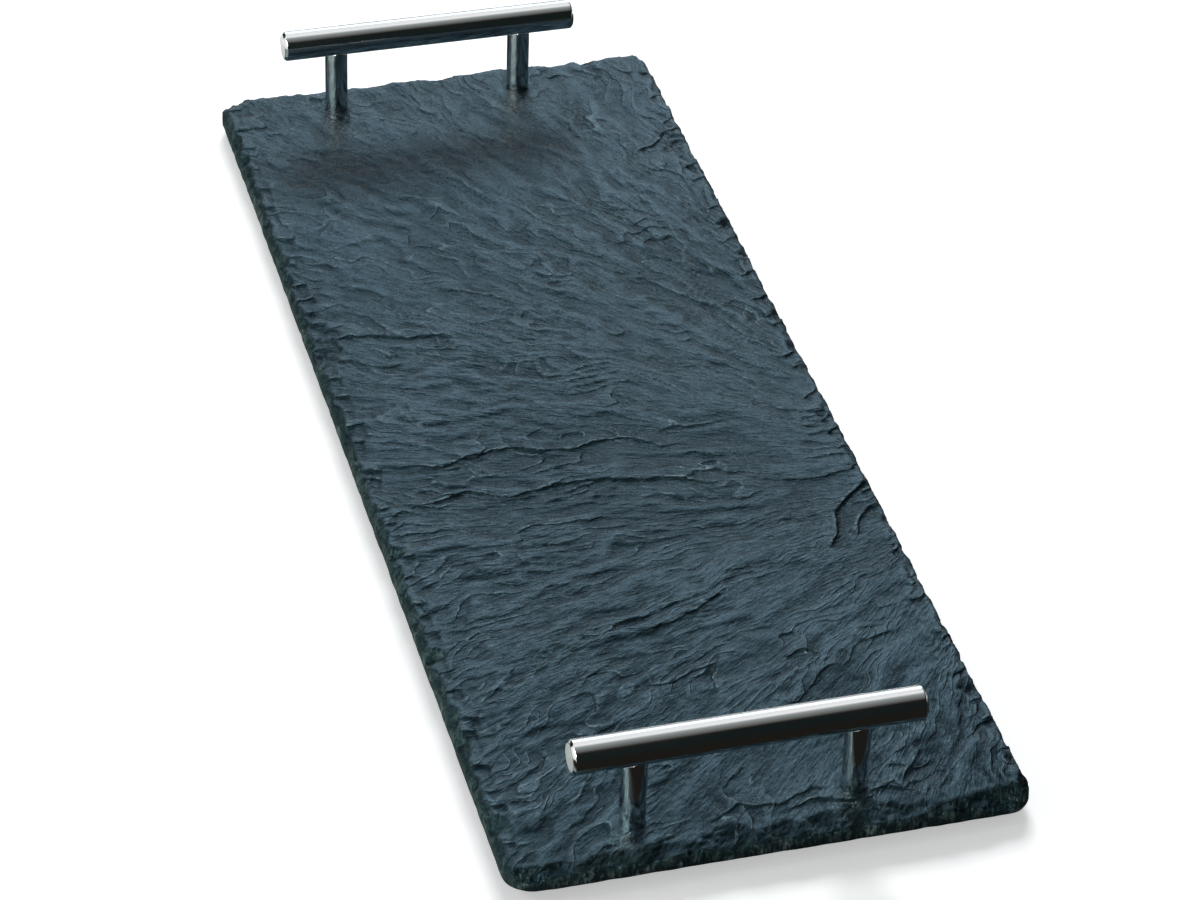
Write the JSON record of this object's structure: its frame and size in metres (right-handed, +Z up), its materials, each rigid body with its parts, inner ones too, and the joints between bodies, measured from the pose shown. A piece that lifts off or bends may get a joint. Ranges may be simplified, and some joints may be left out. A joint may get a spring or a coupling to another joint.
{
  "type": "slate serving board",
  "caption": "Long rectangular slate serving board with chipped edges, an upright chrome bar handle across each short end, and rubber feet below.",
  "frame": {"origin": "on the table, under the middle of the board, at the level of the feet's undersides", "axes": "+X across the board to the right, +Y along the board from the front handle to the rear handle, +Z up"},
  "size_m": [0.18, 0.48, 0.0485],
  "materials": {
    "slate": "riven, matt with a faint sheen",
    "chrome": "polished",
    "zinc_steel": "zinc plated",
    "rubber": "matt"
  },
  "bodies": {
    "root": {"slate_board": "slate", "front_handle_bar": "chrome", "rear_handle_bar": "chrome", "front_left_post": "chrome", "front_right_post": "chrome", "rear_left_post": "chrome", "rear_right_post": "chrome", "front_left_stud": "zinc_steel", "front_right_stud": "zinc_steel", "rear_left_stud": "zinc_steel", "rear_right_stud": "zinc_steel", "front_left_screw": "zinc_steel", "front_right_screw": "zinc_steel", "rear_left_screw": "zinc_steel", "rear_right_screw": "zinc_steel", "front_left_washer": "zinc_steel", "front_right_washer": "zinc_steel", "rear_left_washer": "zinc_steel", "rear_right_washer": "zinc_steel", "front_left_foot": "rubber", "front_right_foot": "rubber", "rear_left_foot": "rubber", "rear_right_foot": "rubber"}
  },
  "joints": []
}
